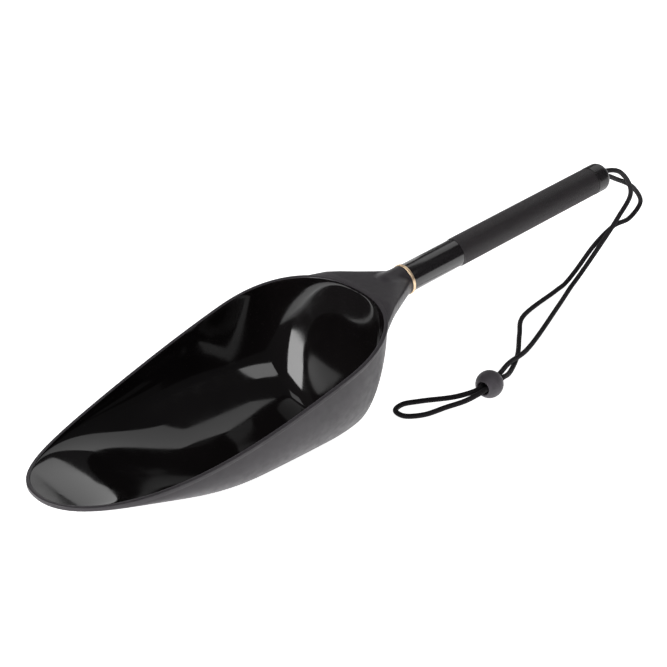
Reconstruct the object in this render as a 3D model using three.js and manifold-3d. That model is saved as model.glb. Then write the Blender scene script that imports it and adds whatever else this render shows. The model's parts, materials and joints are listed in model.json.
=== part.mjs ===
// Hand scoop: a one-piece moulded bowl with a flat keel, a screw-on tubular handle
// with a knurled sleeve, and a cord lanyard with a sliding bead.
//
// Millimetres, +Z up. The scoop stands on the flat of its keel at z = 0, its tip towards +X.
// The bowl is drawn level, with x = 0 at the handle joint. The handle pieces are drawn about
// their own axis, +X towards the bowl, and that axis is tipped up towards the end cap.

import * as THREE from 'three';
import { mergeVertices } from 'three/addons/utils/BufferGeometryUtils.js';
import Module from 'manifold-3d';

const wasm = await Module();
wasm.setup();

// ---------------------------------------------------------------- driving dimensions

const FIT_GAP = 0.3;              // space left between pieces that touch

// bowl, in plan
const BOWL_BACK_X = 43;           // back of the rim, measured from the handle joint
const BOWL_LENGTH = 271.4;
const BOWL_WIDTH = 141.4;
const WIDEST_FROM_BACK = 73.8;
const PLAN_FULLNESS = 2.25;       // superellipse exponent of the rim's plan
const SECTION_FULLNESS = 2.35;    // superellipse exponent of the cross sections

// bowl, in side view; the rim is a cubic that is pulled towards two heights on its way
const RIM_BACK_HEIGHT = 92.1;
const RIM_BACK_PULL = 74.1;
const RIM_TIP_PULL = 28.9;
const RIM_TIP_HEIGHT = 33.2;
const BACK_FOOT = 42;             // back of the rim to the start of the flat keel
const KEEL_FLAT = 88;
const BACK_WALL_LEAN = 12;
const WALL = 3;
const LIP_WIDTH = 2.8;
const LIP_HEIGHT = 3.2;
const LIP_PROUD = 0.6;

// handle joint; what lines up with the tube is set from its radius
const TUBE_RADIUS = 10.8;
const SOCKET_PROUD = 0.4;
const RING_PROUD = 0.85;
const CAP_PROUD = 0.5;
const SPIGOT_STEP = 2.5;          // from the tube's surface in to the spigot under the ring
const CHAMBER_STEP = 3.5;         // from the tube's surface in to the cap's chamber
const HANDLE_TILT = THREE.MathUtils.degToRad(6.65);
const JOINT_HEIGHT = 84.3;
const SOCKET_RADIUS = TUBE_RADIUS + SOCKET_PROUD;
const RING_RADIUS = TUBE_RADIUS + RING_PROUD;
const RING_WIDTH = 2;
const SPIGOT_RADIUS = TUBE_RADIUS - SPIGOT_STEP;

// screw thread
const THREAD_PITCH = 1.27;
const THREAD_CREST = 4.75;
const THREAD_ROOT = 4.02;
const THREAD_CLEARANCE = 0.2;
const STUD_LENGTH = 14;
const INSERT_RADIUS = 7;
const INSERT_LENGTH = 17;

// handle
const TUBE_WALL = 1.2;
const BARE_TUBE = 49.5;           // from the ring to the sleeve
const SLEEVE_LENGTH = 146.5;
const SLEEVE_WALL = 0.5;
const PLUG_DEPTH = 25;
const PLUG_WALL = 2.5;
const CAP_LENGTH = 15;
const CAP_RADIUS = TUBE_RADIUS + CAP_PROUD;
const CAP_ROUNDING = 6.2;
const CAP_SPIGOT = 14;
const CAP_CHAMBER_RADIUS = TUBE_RADIUS - CHAMBER_STEP;
const CAP_END_WALL = 10;

// lanyard
const CORD_DIAMETER = 3.9;
const CORD_SPACING = 4.3;
const KNOT_CLEARANCE = 0.8;
const KNOT_RADIUS = CAP_CHAMBER_RADIUS - KNOT_CLEARANCE;
const KNOT_LENGTH = 10;
const BEAD_RADIUS = 10.4;
const BORE_CLEARANCE = 0.4;

// neck that carries the socket
const NECK_HALF_WIDTH = 53;       // at its root, inside the bowl
const NECK_ROOT = 66;             // joint face to the neck's root
const NECK_TOP_AT_SOCKET = 8.6;   // deck height over the handle axis
const DECK_UNDER_RIM = 0.4;
const NECK_DEPTH = 20;            // depth under the handle axis at the root
const NECK_WALL = 4;
const SOCKET_LENGTH = 34;

const ROUND = 48;                 // sides of the turned pieces

// ---------------------------------------------------------------- helpers

const lerp = THREE.MathUtils.lerp;

function toSolid(geometry) {
  const bare = geometry.clone();
  bare.deleteAttribute('normal');
  bare.deleteAttribute('uv');
  const merged = mergeVertices(bare, 1e-4);
  return new wasm.Manifold(new wasm.Mesh({
    numProp: 3,
    vertProperties: Float32Array.from(merged.attributes.position.array),
    triVerts: Uint32Array.from(merged.index.array),
  }));
}

function toGeometry(solid) {
  const mesh = solid.getMesh();
  const geometry = new THREE.BufferGeometry();
  geometry.setAttribute('position', new THREE.BufferAttribute(Float32Array.from(mesh.vertProperties), 3));
  geometry.setIndex(new THREE.BufferAttribute(Uint32Array.from(mesh.triVerts), 1));
  geometry.computeVertexNormals();
  return geometry;
}

// Rows of points, each row a closed loop, joined into one closed skin with a fan at each end.
function loft(rows) {
  const sides = rows[0].length;
  const points = rows.flat();
  const faces = [];
  for (let r = 0; r + 1 < rows.length; r += 1) {
    for (let s = 0; s < sides; s += 1) {
      const a = r * sides + s;
      const b = r * sides + ((s + 1) % sides);
      faces.push(a, b, b + sides, a, b + sides, a + sides);
    }
  }
  for (const [r, flip] of [[0, false], [rows.length - 1, true]]) {
    const middle = new THREE.Vector3();
    rows[r].forEach((p) => middle.addScaledVector(p, 1 / sides));
    points.push(middle);
    for (let s = 0; s < sides; s += 1) {
      const a = r * sides + s;
      const b = r * sides + ((s + 1) % sides);
      faces.push(points.length - 1, ...(flip ? [a, b] : [b, a]));
    }
  }
  const geometry = new THREE.BufferGeometry().setFromPoints(points);
  geometry.setIndex(faces);
  return geometry;
}

// A turned piece about the X axis, from [x, radius] pairs taken round its half section.
function turned(profile, sides = ROUND) {
  const points = profile.map(([x, radius]) => new THREE.Vector2(radius, x));
  if (THREE.ShapeUtils.area(points) < 0) points.reverse();
  const geometry = new THREE.LatheGeometry(points, sides);
  geometry.rotateZ(-Math.PI / 2);
  return geometry;
}

function turnedSolid(profile, sides = ROUND) {
  return toSolid(turned(profile, sides));
}

function arc(cx, cr, radius, from, to, steps) {
  const points = [];
  for (let i = 0; i <= steps; i += 1) {
    const angle = THREE.MathUtils.degToRad(lerp(from, to, i / steps));
    points.push([cx + radius * Math.cos(angle), cr + radius * Math.sin(angle)]);
  }
  return points;
}

// A right-hand screw core about +X, longer than asked at both ends so that it can be trimmed.
function screwCore(crest, root, length) {
  const segments = 24;
  const rowsPerTurn = 2;
  const rowCount = rowsPerTurn * (Math.ceil(length / THREAD_PITCH) + 4);
  const start = -2 * THREAD_PITCH;
  const points = [];
  for (let k = 0; k < rowCount; k += 1) {
    const radius = k % 2 === 0 ? crest : root;
    for (let j = 0; j < segments; j += 1) {
      const turn = j / segments;
      const x = start + (k / rowsPerTurn + turn) * THREAD_PITCH;
      const angle = turn * 2 * Math.PI;
      points.push(new THREE.Vector3(x, radius * Math.cos(angle), radius * Math.sin(angle)));
    }
  }
  const at = (k, j) => (j < segments ? k * segments + j : (k + rowsPerTurn) * segments);
  const faces = [];
  const lastRow = rowCount - 1 - rowsPerTurn;
  for (let k = 0; k < lastRow; k += 1) {
    for (let j = 0; j < segments; j += 1) {
      faces.push(at(k, j), at(k, j + 1), at(k + 1, j + 1));
      faces.push(at(k, j), at(k + 1, j + 1), at(k + 1, j));
    }
  }
  // each open end is a coil of one row and a step of two rows, closed by a fan
  for (const [k, outward] of [[0, -1], [lastRow, 1]]) {
    points.push(new THREE.Vector3(start + (k / rowsPerTurn + 0.5) * THREAD_PITCH, 0, 0));
    const hub = points.length - 1;
    const loop = [];
    for (let j = 0; j <= segments; j += 1) loop.push(at(k, j));
    loop.push(at(k + 1, 0));
    for (let i = 0; i < loop.length; i += 1) {
      const a = loop[i];
      const b = loop[(i + 1) % loop.length];
      faces.push(hub, ...(outward > 0 ? [a, b] : [b, a]));
    }
  }
  const geometry = new THREE.BufferGeometry().setFromPoints(points);
  geometry.setIndex(faces);
  let solid = toSolid(geometry);
  if (solid.volume() < 0) {
    for (let i = 0; i < faces.length; i += 3) faces.splice(i, 3, faces[i], faces[i + 2], faces[i + 1]);
    geometry.setIndex(faces);
    solid = toSolid(geometry);
  }
  return solid;
}

// ---------------------------------------------------------------- bowl

const BOWL_TIP_X = BOWL_BACK_X + BOWL_LENGTH;
const WIDEST_X = BOWL_BACK_X + WIDEST_FROM_BACK;

function rimHeight(x) {
  const t = THREE.MathUtils.clamp((x - BOWL_BACK_X) / BOWL_LENGTH, 0, 1);
  const s = 1 - t;
  return s ** 3 * RIM_BACK_HEIGHT + 3 * s * s * t * RIM_BACK_PULL
    + 3 * s * t * t * RIM_TIP_PULL + t ** 3 * RIM_TIP_HEIGHT;
}

// Side view of the keel, inset from the outer skin: back wall, flat, and the sweep up to the tip.
function keelCurve(inset) {
  const back = BOWL_BACK_X + inset;
  const tip = BOWL_TIP_X - inset;
  const flatStart = BOWL_BACK_X + BACK_FOOT + inset / 2;
  const flatEnd = BOWL_BACK_X + BACK_FOOT + KEEL_FLAT;
  const rise = tip - flatEnd;
  const tipZ = RIM_TIP_HEIGHT - LIP_HEIGHT + inset;
  const v = (x, z) => new THREE.Vector2(x, z);
  const path = new THREE.CurvePath();
  path.add(new THREE.CubicBezierCurve(
    v(back, RIM_BACK_HEIGHT - LIP_HEIGHT),
    v(back + BACK_WALL_LEAN, 0.75 * RIM_BACK_HEIGHT),
    v(back + 0.53 * BACK_FOOT, inset),
    v(flatStart, inset),
  ));
  path.add(new THREE.LineCurve(v(flatStart, inset), v(flatEnd, inset)));
  path.add(new THREE.CubicBezierCurve(
    v(flatEnd, inset),
    v(flatEnd + 0.41 * rise, inset),
    v(flatEnd + 0.6 * rise, tipZ - 0.5),
    v(tip, tipZ),
  ));
  return path.curves.flatMap((curve) => curve.getPoints(60));
}

function heightAlong(points) {
  return (x) => {
    let i = 1;
    while (i < points.length - 1 && points[i].x < x) i += 1;
    const a = points[i - 1];
    const b = points[i];
    const t = b.x > a.x ? THREE.MathUtils.clamp((x - a.x) / (b.x - a.x), 0, 1) : 0;
    return lerp(a.y, b.y, t);
  };
}

// Superellipse plan of the rim, drawn in by an inset.
function planPoint(angle, inset) {
  const c = Math.cos(angle);
  const s = Math.sin(angle);
  const power = 2 / PLAN_FULLNESS;
  const reach = (c > 0 ? BOWL_LENGTH - WIDEST_FROM_BACK : WIDEST_FROM_BACK) - inset;
  return [
    WIDEST_X + reach * Math.sign(c) * Math.abs(c) ** power,
    (BOWL_WIDTH / 2 - inset) * Math.sign(s) * Math.abs(s) ** power,
  ];
}

function planHalfWidth(x, inset) {
  const reach = (x > WIDEST_X ? BOWL_LENGTH - WIDEST_FROM_BACK : WIDEST_FROM_BACK) - inset;
  const u = Math.min(1, Math.abs(x - WIDEST_X) / reach);
  return (BOWL_WIDTH / 2 - inset) * (1 - u ** PLAN_FULLNESS) ** (1 / PLAN_FULLNESS);
}

// The bowl's skin at an inset from the plan, from its edge at `top` below the rim, to the keel.
function bowlRows(planInset, keelInset, top, around, down) {
  const keel = heightAlong(keelCurve(keelInset));
  const rows = [];
  for (let i = 0; i <= down; i += 1) {
    const lift = (i / (down + 0.5)) * (Math.PI / 2);
    const r = Math.cos(lift) ** (2 / SECTION_FULLNESS);
    const row = [];
    for (let j = 0; j < around; j += 1) {
      const [ex, ey] = planPoint((j / around) * 2 * Math.PI, planInset);
      const x = WIDEST_X + (ex - WIDEST_X) * r;
      const y = ey * r;
      const edge = rimHeight(x) - top;
      const depth = Math.max(0, edge - keel(x));
      const half = planHalfWidth(x, planInset);
      const across = half > 1e-6 ? Math.min(1, Math.abs(y) / half) : 1;
      const drop = i === 0 ? 0 : depth * (1 - across ** SECTION_FULLNESS) ** (1 / SECTION_FULLNESS);
      row.push(new THREE.Vector3(x, y, Math.max(edge - drop, keelInset > 0 ? keelInset : 0)));
    }
    rows.push(row);
  }
  return rows;
}

function edgeRow(inset, drop, around) {
  const row = [];
  for (let j = 0; j < around; j += 1) {
    const [x, y] = planPoint((j / around) * 2 * Math.PI, inset);
    row.push(new THREE.Vector3(x, y, rimHeight(x) - drop));
  }
  return row;
}

function oriented(rows) {
  const solid = toSolid(loft(rows));
  return solid.volume() > 0 ? solid : toSolid(loft([...rows].reverse()));
}

const BOWL_AROUND = 72;

function bowlOuter() {
  const step = LIP_PROUD / 2;
  return oriented([
    edgeRow(0, 0, BOWL_AROUND),
    edgeRow(0, LIP_HEIGHT - step, BOWL_AROUND),
    ...bowlRows(LIP_PROUD, 0, LIP_HEIGHT, BOWL_AROUND, 13),
  ]);
}

function bowlCavity() {
  const above = 40;
  return oriented([
    edgeRow(LIP_WIDTH, -above, BOWL_AROUND),
    ...bowlRows(LIP_WIDTH, WALL, 0, BOWL_AROUND, 13),
  ]);
}

// ---------------------------------------------------------------- neck and socket

const SOCKET_FACE_X = RING_WIDTH / 2 + FIT_GAP;

// The deck runs straight from the socket to just under the back of the rim.
const RIM_BACK_ON_AXIS = new THREE.Vector2(
  BOWL_BACK_X,
  RIM_BACK_HEIGHT - DECK_UNDER_RIM - JOINT_HEIGHT,
).rotateAround(new THREE.Vector2(0, 0), HANDLE_TILT);

function deckHeight(x) {
  return lerp(NECK_TOP_AT_SOCKET, RIM_BACK_ON_AXIS.y, x / RIM_BACK_ON_AXIS.x);
}

// Neck section at a share t of the way from the socket face to the neck's root, on the handle axis.
function neckRow(t, inset, extraDepth, sides) {
  const x = lerp(SOCKET_FACE_X, NECK_ROOT, t);
  const half = lerp(SOCKET_RADIUS - 1, NECK_HALF_WIDTH, t ** 1.15) - inset;
  const top = deckHeight(x) - inset;
  const bottom = -lerp(SOCKET_RADIUS - 1, NECK_DEPTH, t ** 1.3) - extraDepth;
  const edge = top - lerp(7, 2.5, Math.min(1, 2 * t));
  const row = [];
  for (let s = 0; s < sides; s += 1) {
    const angle = (s / sides) * 2 * Math.PI;
    const c = Math.cos(angle);
    const v = Math.sin(angle);
    const flat = v > 0 ? lerp(0.8, 0.35, t) : 1;
    const y = half * Math.sign(c) * Math.abs(c) ** flat;
    const z = v > 0 ? edge + (top - edge) * v ** flat : edge + (edge - bottom) * v;
    row.push(new THREE.Vector3(x, y, z));
  }
  return row;
}

function neckLoft(from, to, inset, extraDepth) {
  const rows = [];
  const steps = 10;
  for (let i = 0; i <= steps; i += 1) {
    rows.push(neckRow(lerp(from, to, i / steps), inset, extraDepth, 40));
  }
  return oriented(rows);
}

// The boss that holds the threaded insert runs out into the deck.
function socketBoss() {
  const start = SOCKET_FACE_X;
  const end = start + SOCKET_LENGTH;
  const fade = 12;
  return turnedSolid([
    [start, 0],
    [start, SOCKET_RADIUS - 0.4],
    [start + 0.4, SOCKET_RADIUS],
    [end - fade, SOCKET_RADIUS - 0.6],
    [end - fade / 2, SOCKET_RADIUS - 2.6],
    [end, 0],
  ]);
}

// Two pockets, open below and either side of a middle rib, keep the deck to an even wall.
function neckPockets() {
  const pocket = neckLoft(0.45, 1.4, NECK_WALL, NECK_ROOT);
  const rib = new THREE.BoxGeometry(4 * NECK_ROOT, NECK_WALL, 8 * NECK_ROOT);
  return pocket.subtract(toSolid(rib));
}

const ON_HANDLE_AXIS = new THREE.Matrix4()
  .makeRotationY(HANDLE_TILT)
  .setPosition(0, 0, JOINT_HEIGHT);

function placedOnAxis(solid) {
  return toSolid(toGeometry(solid).applyMatrix4(ON_HANDLE_AXIS));
}

// Everything under the rim line, which the deck is cut down to.
function belowRim() {
  const under = DECK_UNDER_RIM / 2;
  const shape = new THREE.Shape();
  shape.moveTo(-BOWL_LENGTH, -RIM_BACK_HEIGHT);
  shape.lineTo(-BOWL_LENGTH, 2 * RIM_BACK_HEIGHT);
  shape.lineTo(BOWL_BACK_X, 2 * RIM_BACK_HEIGHT);
  const steps = 30;
  for (let i = 0; i <= steps; i += 1) {
    const x = lerp(BOWL_BACK_X, WIDEST_X, i / steps);
    shape.lineTo(x, rimHeight(x) - under);
  }
  shape.lineTo(WIDEST_X, -RIM_BACK_HEIGHT);
  const geometry = new THREE.ExtrudeGeometry(shape, { depth: 2 * BOWL_WIDTH, bevelEnabled: false });
  geometry.rotateX(Math.PI / 2);
  geometry.translate(0, BOWL_WIDTH, 0);
  return toSolid(geometry);
}

const INSERT_START_X = SOCKET_FACE_X + FIT_GAP;

function scoopBowl() {
  const bore = turnedSolid([
    [SOCKET_FACE_X - 5, 0],
    [SOCKET_FACE_X - 5, INSERT_RADIUS + FIT_GAP],
    [INSERT_START_X + INSERT_LENGTH + FIT_GAP, INSERT_RADIUS + FIT_GAP],
    [INSERT_START_X + INSERT_LENGTH + FIT_GAP, 0],
  ]);
  const neck = neckLoft(0, 1, 0, 0).subtract(neckPockets()).add(socketBoss()).subtract(bore);
  const trimmed = placedOnAxis(neck).intersect(belowRim());
  const body = bowlOuter().add(trimmed).subtract(bowlCavity());
  return toGeometry(body);
}

// ---------------------------------------------------------------- joint hardware

function threadedInsert() {
  const end = INSERT_START_X + INSERT_LENGTH;
  const groove = 0.6;
  const blank = turnedSolid([
    [INSERT_START_X, 0],
    [INSERT_START_X, INSERT_RADIUS],
    [INSERT_START_X + 5, INSERT_RADIUS],
    [INSERT_START_X + 5.4, INSERT_RADIUS - groove],
    [INSERT_START_X + 8.6, INSERT_RADIUS - groove],
    [INSERT_START_X + 9, INSERT_RADIUS],
    [end, INSERT_RADIUS],
    [end, 0],
  ]);
  const thread = screwCore(THREAD_CREST + THREAD_CLEARANCE, THREAD_ROOT + THREAD_CLEARANCE, end + 4);
  return toGeometry(blank.subtract(thread));
}

function threadedPlug() {
  const tubeBore = TUBE_RADIUS - TUBE_WALL;
  const body = tubeBore - FIT_GAP;
  const boss = RING_WIDTH / 2 - 0.15;
  const studEnd = SOCKET_FACE_X + STUD_LENGTH;
  const plug = turnedSolid([
    [-TUBE_START - PLUG_DEPTH, 0],
    [-TUBE_START - PLUG_DEPTH, body - 1],
    [-TUBE_START - PLUG_DEPTH + 1, body],
    [-TUBE_START, body],
    [-TUBE_START, SPIGOT_RADIUS],
    [boss, SPIGOT_RADIUS],
    [boss, 0],
  ]);
  const studBlank = turnedSolid([
    [0, 0],
    [0, THREAD_CREST],
    [studEnd - 1, THREAD_CREST],
    [studEnd, THREAD_ROOT - 0.3],
    [studEnd, 0],
  ]);
  const stud = studBlank.intersect(screwCore(THREAD_CREST, THREAD_ROOT, studEnd + 4));
  const hollow = turnedSolid([
    [-TUBE_START - PLUG_DEPTH - 1, 0],
    [-TUBE_START - PLUG_DEPTH - 1, body - PLUG_WALL],
    [-TUBE_START - 2 * PLUG_WALL, body - PLUG_WALL],
    [-TUBE_START - 2 * PLUG_WALL, 0],
  ]);
  return toGeometry(plug.add(stud).subtract(hollow));
}

function collarRing() {
  const half = RING_WIDTH / 2;
  const inner = SPIGOT_RADIUS + FIT_GAP;
  const bevel = 0.5;
  return turned([
    [-half, inner],
    [-half, RING_RADIUS - bevel],
    [-half + bevel, RING_RADIUS],
    [half - bevel, RING_RADIUS],
    [half, RING_RADIUS - bevel],
    [half, inner],
    [-half, inner],
  ]);
}

// ---------------------------------------------------------------- handle

const TUBE_START = RING_WIDTH / 2 + FIT_GAP;
const SLEEVE_START = RING_WIDTH / 2 + BARE_TUBE;
const SLEEVE_END = SLEEVE_START + SLEEVE_LENGTH;
const CAP_START = SLEEVE_END + FIT_GAP;
const CAP_END = CAP_START + CAP_LENGTH;

function handleTube() {
  const bore = TUBE_RADIUS - TUBE_WALL;
  return turned([
    [-SLEEVE_END, bore],
    [-SLEEVE_END, TUBE_RADIUS],
    [-TUBE_START - 0.3, TUBE_RADIUS],
    [-TUBE_START, TUBE_RADIUS - 0.3],
    [-TUBE_START, bore],
    [-SLEEVE_END, bore],
  ]);
}

function gripSleeve() {
  const inner = TUBE_RADIUS + FIT_GAP;
  const outer = inner + SLEEVE_WALL;
  return turned([
    [-SLEEVE_END, inner],
    [-SLEEVE_END, outer],
    [-SLEEVE_START - 0.2, outer],
    [-SLEEVE_START, outer - 0.2],
    [-SLEEVE_START, inner],
    [-SLEEVE_END, inner],
  ]);
}

const CORD_HOLE_RADIUS = (CORD_SPACING + CORD_DIAMETER) / 2 + BORE_CLEARANCE;

function endCap() {
  const spigot = TUBE_RADIUS - TUBE_WALL - FIT_GAP;
  const chamberEnd = CAP_END - CAP_END_WALL;
  const round = CAP_ROUNDING;
  const mouth = 0.5;
  return turned([
    [-CAP_START + CAP_SPIGOT, CAP_CHAMBER_RADIUS],
    [-CAP_START + CAP_SPIGOT, spigot],
    [-CAP_START, spigot],
    [-CAP_START, CAP_RADIUS],
    ...arc(-CAP_END + round, CAP_RADIUS - round, round, 90, 180, 6),
    [-CAP_END, CORD_HOLE_RADIUS + mouth],
    [-CAP_END + mouth, CORD_HOLE_RADIUS],
    [-chamberEnd, CORD_HOLE_RADIUS],
    [-chamberEnd, CAP_CHAMBER_RADIUS],
    [-CAP_START + CAP_SPIGOT, CAP_CHAMBER_RADIUS],
  ]);
}

const KNOT_FACE = CAP_END - CAP_END_WALL - FIT_GAP;

function lanyardKnot() {
  const end = -KNOT_FACE + KNOT_LENGTH;
  return turned([
    [-KNOT_FACE, 0],
    [-KNOT_FACE, 0.6 * KNOT_RADIUS],
    [-KNOT_FACE + 2, 0.95 * KNOT_RADIUS],
    [-KNOT_FACE + 4, KNOT_RADIUS],
    [-KNOT_FACE + 5, 0.88 * KNOT_RADIUS],
    [-KNOT_FACE + 6, KNOT_RADIUS],
    [end - 2, 0.95 * KNOT_RADIUS],
    [end, 0.6 * KNOT_RADIUS],
    [end, 0],
  ], 24);
}

// ---------------------------------------------------------------- lanyard

// The cord is one length: out of the cap, down to the surface, through the bead, round the
// wrist loop and back the same way. Its points are level, with x = 0 at the handle joint.
function besideAxis(along, above) {
  return new THREE.Vector3(-along, 0, above).applyMatrix4(ON_HANDLE_AXIS);
}

const CORD_REST = 2.2;            // height of the cord's middle where it lies on the surface
const CORD_START = KNOT_FACE + FIT_GAP;
const BEAD_CENTRE = new THREE.Vector3(-33.1, 58.4, BEAD_RADIUS);
const BEAD_TURN = THREE.MathUtils.degToRad(11);

const LANYARD_ROUTE = [
  besideAxis(CORD_START, CORD_SPACING / 2),
  besideAxis(CAP_END + 2, CORD_SPACING / 2),
  new THREE.Vector3(-235.6, -2, 103.6),
  new THREE.Vector3(-256.3, -6.6, 77.5),
  new THREE.Vector3(-246, -9.5, 58),
  new THREE.Vector3(-234.5, -17, 33),
  new THREE.Vector3(-220, -22.5, 10.5),
  new THREE.Vector3(-209, -21.5, 3.4),
  new THREE.Vector3(-176, -5.3, 2.5),
  new THREE.Vector3(-98.6, 32.7, 4.4),
  new THREE.Vector3(-70, 42.6, 8.2),
  new THREE.Vector3(-46.4, 53.4, BEAD_RADIUS),
  new THREE.Vector3(-32.7, 56.2, BEAD_RADIUS),
  new THREE.Vector3(-19, 58.8, BEAD_RADIUS),
  new THREE.Vector3(-5.3, 51.6, 7.2),
  new THREE.Vector3(12.4, 33.6, CORD_REST),
  new THREE.Vector3(26, 28.5, CORD_REST),
  new THREE.Vector3(35.5, 31.8, CORD_REST),
  new THREE.Vector3(36, 41, CORD_REST),
  new THREE.Vector3(24.2, 49.2, CORD_REST),
  new THREE.Vector3(4.5, 52.9, 2.8),
  new THREE.Vector3(-7.5, 60.4, 7),
  new THREE.Vector3(-19.8, 63.2, BEAD_RADIUS),
  new THREE.Vector3(-33.5, 60.6, BEAD_RADIUS),
  new THREE.Vector3(-47.2, 58, BEAD_RADIUS),
  new THREE.Vector3(-64, 48.9, 4.6),
  new THREE.Vector3(-91.5, 30.8, CORD_REST),
  new THREE.Vector3(-117.3, 8, CORD_REST),
  new THREE.Vector3(-140, -10.6, CORD_REST),
  new THREE.Vector3(-194, -25.2, 2.5),
  new THREE.Vector3(-210, -28.8, 3.4),
  new THREE.Vector3(-221.5, -28.6, 11.5),
  new THREE.Vector3(-236, -22.6, 33),
  new THREE.Vector3(-250.5, -17, 47),
  new THREE.Vector3(-272, -18, 48),
  new THREE.Vector3(-285.5, -19, 57.8),
  new THREE.Vector3(-274.5, -17.5, 73.4),
  new THREE.Vector3(-236.4, -7.2, 96.2),
  besideAxis(CAP_END + 2, -CORD_SPACING / 2),
  besideAxis(CORD_START, -CORD_SPACING / 2),
];

function lanyardCord() {
  const curve = new THREE.CatmullRomCurve3(LANYARD_ROUTE, false, 'centripetal');
  const section = new THREE.Shape();
  const sides = 8;
  for (let i = 0; i < sides; i += 1) {
    const angle = ((i + 0.5) / sides) * 2 * Math.PI;
    const x = (CORD_DIAMETER / 2) * Math.cos(angle);
    const y = (CORD_DIAMETER / 2) * Math.sin(angle);
    if (i === 0) section.moveTo(x, y);
    else section.lineTo(x, y);
  }
  section.closePath();
  return new THREE.ExtrudeGeometry(section, {
    steps: 80,
    curveSegments: 1,
    bevelEnabled: false,
    extrudePath: curve,
  });
}

function cordBead() {
  const bore = CORD_HOLE_RADIUS + BORE_CLEARANCE;
  const lip = 0.6;
  const reach = Math.sqrt(BEAD_RADIUS ** 2 - (bore + lip) ** 2);
  const edge = THREE.MathUtils.radToDeg(Math.atan2(bore + lip, reach));
  const bead = turned([
    [-reach + lip, bore],
    ...arc(0, 0, BEAD_RADIUS, 180 - edge, edge, 20),
    [reach - lip, bore],
    [-reach + lip, bore],
  ], 36);
  return bead;
}

// ---------------------------------------------------------------- assembly

function piece(name, geometry, color, roughness, metalness) {
  const material = new THREE.MeshStandardMaterial({ color, roughness, metalness });
  const mesh = new THREE.Mesh(geometry, material);
  mesh.name = name;
  return mesh;
}

const scoop = new THREE.Group();
scoop.add(piece('scoop_bowl', scoopBowl(), 0x1c1b1c, 0.3, 0));

const onAxis = new THREE.Group();
onAxis.position.z = JOINT_HEIGHT;
onAxis.rotation.y = HANDLE_TILT;
onAxis.add(
  piece('threaded_insert', threadedInsert(), 0xb5924c, 0.35, 1),
  piece('threaded_plug', threadedPlug(), 0xb8bcc0, 0.35, 1),
  piece('collar_ring', collarRing(), 0xd9b27c, 0.25, 1),
  piece('handle_tube', handleTube(), 0x151416, 0.2, 0.6),
  piece('grip_sleeve', gripSleeve(), 0x1e1d1f, 0.7, 0),
  piece('end_cap', endCap(), 0x1b1a1b, 0.4, 0),
  piece('lanyard_knot', lanyardKnot(), 0x141314, 0.9, 0),
);
scoop.add(onAxis);

// the origin is at the middle of the scoop's own length, on the surface it stands on
scoop.updateMatrixWorld(true);
const extent = new THREE.Box3().setFromObject(scoop, true);
scoop.position.x = -(extent.min.x + extent.max.x) / 2;

const bead = piece('cord_bead', cordBead(), 0x4b4a4c, 0.6, 0);
bead.position.copy(BEAD_CENTRE);
bead.rotation.z = BEAD_TURN;
scoop.add(bead, piece('lanyard_cord', lanyardCord(), 0x131213, 0.9, 0));

export default scoop;
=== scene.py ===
"""Looks for a hand scoop: moulded bowl, screw-on handle with a knurled sleeve, cord lanyard.

Everything is in metres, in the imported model's own frame. The bowl stands on z = 0 with its tip
towards +X. The handle's axis leaves the joint towards the end cap and rises as it goes.
"""

import json
import math

import bmesh
import bpy
from mathutils import Matrix, Vector


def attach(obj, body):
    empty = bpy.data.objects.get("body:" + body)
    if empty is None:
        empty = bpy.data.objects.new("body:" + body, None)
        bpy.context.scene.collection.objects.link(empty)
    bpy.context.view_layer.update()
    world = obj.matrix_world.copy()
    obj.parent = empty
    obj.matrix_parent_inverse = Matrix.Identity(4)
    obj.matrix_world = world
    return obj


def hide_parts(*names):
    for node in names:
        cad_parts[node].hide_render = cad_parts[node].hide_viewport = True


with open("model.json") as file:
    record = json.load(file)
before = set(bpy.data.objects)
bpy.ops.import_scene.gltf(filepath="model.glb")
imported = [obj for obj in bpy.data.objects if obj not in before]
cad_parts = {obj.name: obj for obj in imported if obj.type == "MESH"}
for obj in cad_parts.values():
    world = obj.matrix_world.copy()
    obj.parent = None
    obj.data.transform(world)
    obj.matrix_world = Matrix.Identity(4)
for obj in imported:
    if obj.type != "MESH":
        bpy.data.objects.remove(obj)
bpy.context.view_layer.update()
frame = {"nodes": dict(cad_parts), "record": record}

# ---------------------------------------------------------------- sizes

MM = 0.001
FIT_GAP = 0.3 * MM

screw = next(j for j in frame["record"]["behaviour"]["joints"] if j["name"] == "handle_unscrew")
JOINT = Vector(screw["pos_m"])
TO_CAP = Vector(screw["axis"]).normalized()
TO_BOWL = -TO_CAP
AXIS_UP = Vector((TO_CAP.z, 0.0, -TO_CAP.x))
HANDLE = Matrix((
    (TO_BOWL.x, 0.0, AXIS_UP.x, JOINT.x),
    (0.0, 1.0, 0.0, 0.0),
    (TO_BOWL.z, 0.0, AXIS_UP.z, JOINT.z),
    (0.0, 0.0, 0.0, 1.0),
))

# bowl, measured from the joint
BOWL_BACK_X = 43 * MM
BOWL_LENGTH = 271.4 * MM
BOWL_WIDTH = 141.4 * MM
WIDEST_FROM_BACK = 73.8 * MM
WIDEST_X = BOWL_BACK_X + WIDEST_FROM_BACK
BOWL_TIP_X = BOWL_BACK_X + BOWL_LENGTH
BOWL_SEGMENTS = 224
BOWL_ROWS = 52
PLAN_FULLNESS = 2.25
SECTION_FULLNESS = 2.35
RIM_HEIGHTS = [92.1 * MM, 74.1 * MM, 28.9 * MM, 33.2 * MM]
BACK_FOOT = 42 * MM
KEEL_FLAT = 88 * MM
BACK_WALL_LEAN = 12 * MM
WALL = 3 * MM
LIP_WIDTH = 2.8 * MM
LIP_HEIGHT = 3.2 * MM
LIP_PROUD = 0.6 * MM
LIP_ROUNDING = 0.5 * MM

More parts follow.
